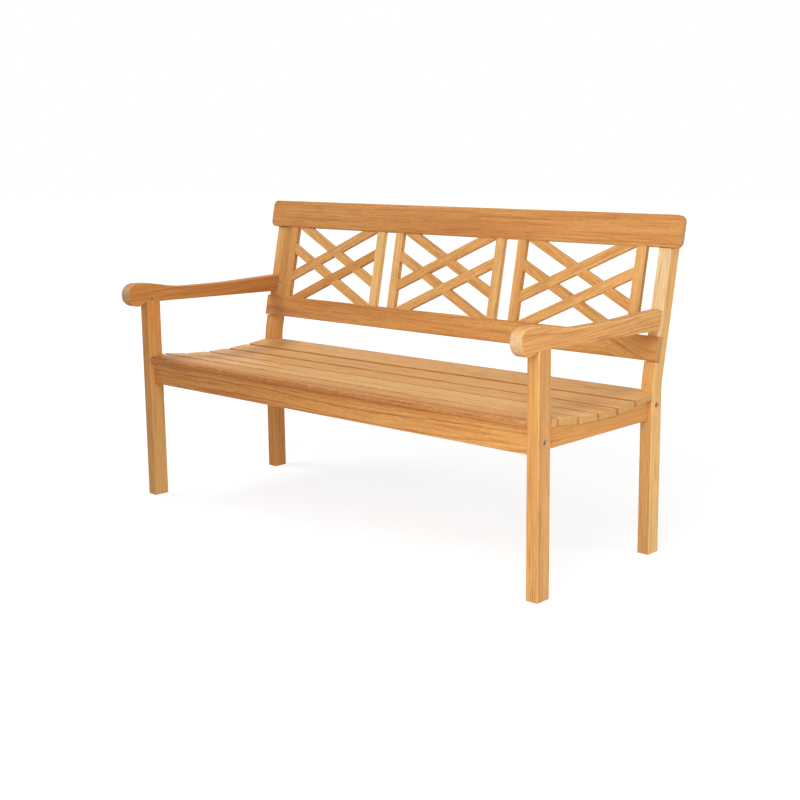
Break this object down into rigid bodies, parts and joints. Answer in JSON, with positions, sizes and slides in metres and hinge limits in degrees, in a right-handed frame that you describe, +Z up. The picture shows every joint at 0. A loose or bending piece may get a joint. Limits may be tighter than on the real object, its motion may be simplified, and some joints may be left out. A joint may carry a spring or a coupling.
{
  "type": "garden bench",
  "caption": "Long teak garden bench with scrolled armrests, a dished slatted seat and a leaning back of crossed-bar lattice panels under a round-cornered crest rail.",
  "frame": {"origin": "on the floor, under the middle of the bench's bounding box", "axes": "+X along the bench to the right as seen from the front, +Y from front to back, +Z up"},
  "size_m": [1.56, 0.6607, 0.8729],
  "materials": {
    "teak_legs_arms": "planed, sanded and oiled, satin",
    "teak_back_rails": "planed, sanded and oiled, satin",
    "teak_lattice": "planed, sanded and oiled, satin",
    "teak_slats": "planed, sanded and oiled, satin",
    "teak_seat_rails": "planed, sanded and oiled, satin",
    "peg_wood": "turned, set flush",
    "stainless_steel": "turned, satin"
  },
  "bodies": {
    "root": {"arm_pegs": "peg_wood", "armrest_left": "teak_legs_arms", "armrest_right": "teak_legs_arms", "back_screws": "stainless_steel", "barrel_nuts": "stainless_steel", "bolt_washers": "stainless_steel", "crest_rail": "teak_back_rails", "frame_bolts": "stainless_steel", "front_apron": "teak_seat_rails", "front_leg_left": "teak_legs_arms", "front_leg_right": "teak_legs_arms", "lattice_dowels": "peg_wood", "lower_back_rail": "teak_back_rails", "middle_bearer": "teak_seat_rails", "panel_1_falling_bar_lower": "teak_lattice", "panel_1_falling_bar_upper": "teak_lattice", "panel_1_rising_bar_lower": "teak_lattice", "panel_1_rising_bar_upper": "teak_lattice", "panel_1_stile_left": "teak_lattice", "panel_1_stile_right": "teak_lattice", "panel_2_falling_bar_lower": "teak_lattice", "panel_2_falling_bar_upper": "teak_lattice", "panel_2_rising_bar_lower": "teak_lattice", "panel_2_rising_bar_upper": "teak_lattice", "panel_2_stile_left": "teak_lattice", "panel_2_stile_right": "teak_lattice", "panel_3_falling_bar_lower": "teak_lattice", "panel_3_falling_bar_upper": "teak_lattice", "panel_3_rising_bar_lower": "teak_lattice", "panel_3_rising_bar_upper": "teak_lattice", "panel_3_stile_left": "teak_lattice", "panel_3_stile_right": "teak_lattice", "rail_dowels": "peg_wood", "rear_leg_left": "teak_legs_arms", "rear_leg_right": "teak_legs_arms", "rear_seat_rail": "teak_seat_rails", "screw_plugs": "peg_wood", "seat_slat_1": "teak_slats", "seat_slat_2": "teak_slats", "seat_slat_3": "teak_slats", "seat_slat_4": "teak_slats", "seat_slat_5": "teak_slats", "seat_slat_6": "teak_slats", "side_rail_left": "teak_seat_rails", "side_rail_right": "teak_seat_rails", "slat_screws": "stainless_steel"}
  },
  "joints": []
}
